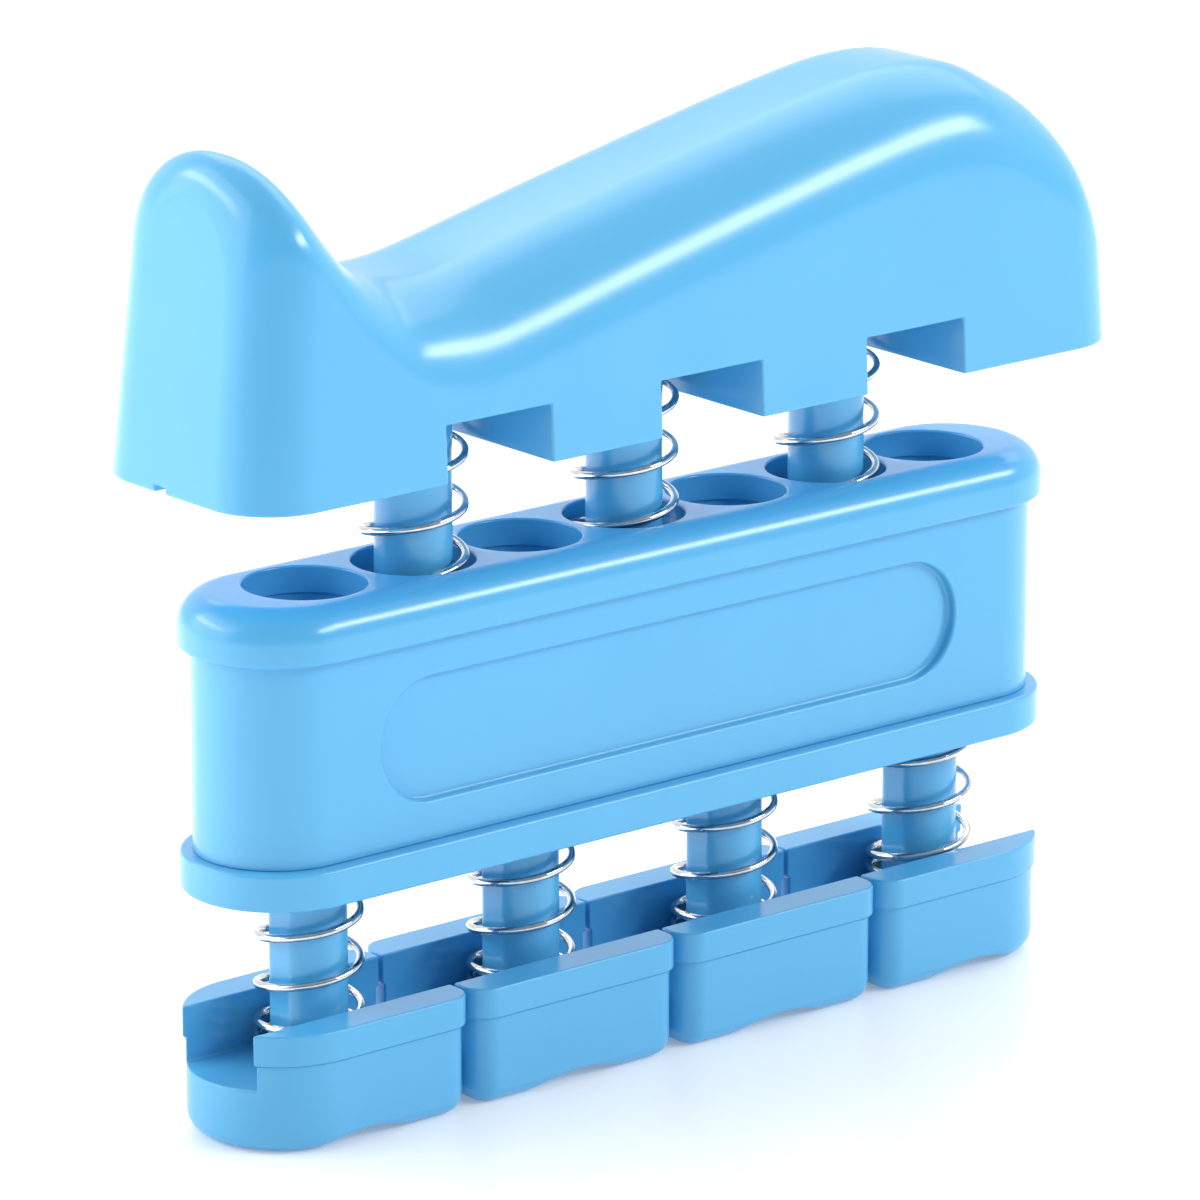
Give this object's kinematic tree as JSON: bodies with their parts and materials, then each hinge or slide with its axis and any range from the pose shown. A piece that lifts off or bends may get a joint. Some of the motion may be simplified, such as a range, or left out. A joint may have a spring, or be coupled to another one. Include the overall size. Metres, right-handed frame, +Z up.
{
  "type": "finger exerciser",
  "caption": "Hand-held finger exerciser: a sculpted palm rest on sprung posts above a slim body, with separate sprung finger buttons below.",
  "frame": {"origin": "centre of the buttons' undersides, on the surface that the exerciser stands on, under the middle bore", "axes": "+X along the row of buttons to the ramped end of the palm rest, -Y towards the front, +Z up through the palm rest"},
  "size_m": [0.0882, 0.0216, 0.0769],
  "materials": {
    "blue_plastic": "glossy",
    "spring_wire": "polished",
    "plated_steel": "satin"
  },
  "bodies": {
    "body": {"housing": "blue_plastic", "upper_cap": "blue_plastic", "lower_cap": "blue_plastic"},
    "palm": {"palm_rest": "blue_plastic", "palm_post_1": "blue_plastic", "palm_washer_1": "plated_steel", "palm_screw_1": "plated_steel", "palm_spring_1": "spring_wire", "palm_post_2": "blue_plastic", "palm_washer_2": "plated_steel", "palm_screw_2": "plated_steel", "palm_spring_2": "spring_wire", "palm_post_3": "blue_plastic", "palm_washer_3": "plated_steel", "palm_screw_3": "plated_steel", "palm_spring_3": "spring_wire"},
    "finger_1": {"finger_button_1": "blue_plastic", "finger_post_1": "blue_plastic", "finger_washer_1": "plated_steel", "finger_screw_1": "plated_steel", "finger_spring_1": "spring_wire"},
    "finger_2": {"finger_button_2": "blue_plastic", "finger_post_2": "blue_plastic", "finger_washer_2": "plated_steel", "finger_screw_2": "plated_steel", "finger_spring_2": "spring_wire"},
    "finger_3": {"finger_button_3": "blue_plastic", "finger_post_3": "blue_plastic", "finger_washer_3": "plated_steel", "finger_screw_3": "plated_steel", "finger_spring_3": "spring_wire"},
    "finger_4": {"finger_button_4": "blue_plastic", "finger_post_4": "blue_plastic", "finger_washer_4": "plated_steel", "finger_screw_4": "plated_steel", "finger_spring_4": "spring_wire"}
  },
  "joints": [
    {"name": "palm_press", "type": "slide", "parent": "body", "child": "palm", "axis": [0, 0, -1], "range_m": [0, 0.008], "stiffness_N_per_m": 2000, "springref_m": -0.004, "deforming": ["palm_spring_1", "palm_spring_2", "palm_spring_3"]},
    {"name": "finger_press_1", "type": "slide", "parent": "body", "child": "finger_1", "axis": [0, 0, 1], "range_m": [0, 0.0085], "stiffness_N_per_m": 600, "springref_m": -0.004, "deforming": ["finger_spring_1"]},
    {"name": "finger_press_2", "type": "slide", "parent": "body", "child": "finger_2", "axis": [0, 0, 1], "range_m": [0, 0.0085], "stiffness_N_per_m": 600, "springref_m": -0.004, "deforming": ["finger_spring_2"]},
    {"name": "finger_press_3", "type": "slide", "parent": "body", "child": "finger_3", "axis": [0, 0, 1], "range_m": [0, 0.0085], "stiffness_N_per_m": 600, "springref_m": -0.004, "deforming": ["finger_spring_3"]},
    {"name": "finger_press_4", "type": "slide", "parent": "body", "child": "finger_4", "axis": [0, 0, 1], "range_m": [0, 0.0085], "stiffness_N_per_m": 600, "springref_m": -0.004, "deforming": ["finger_spring_4"]}
  ]
}
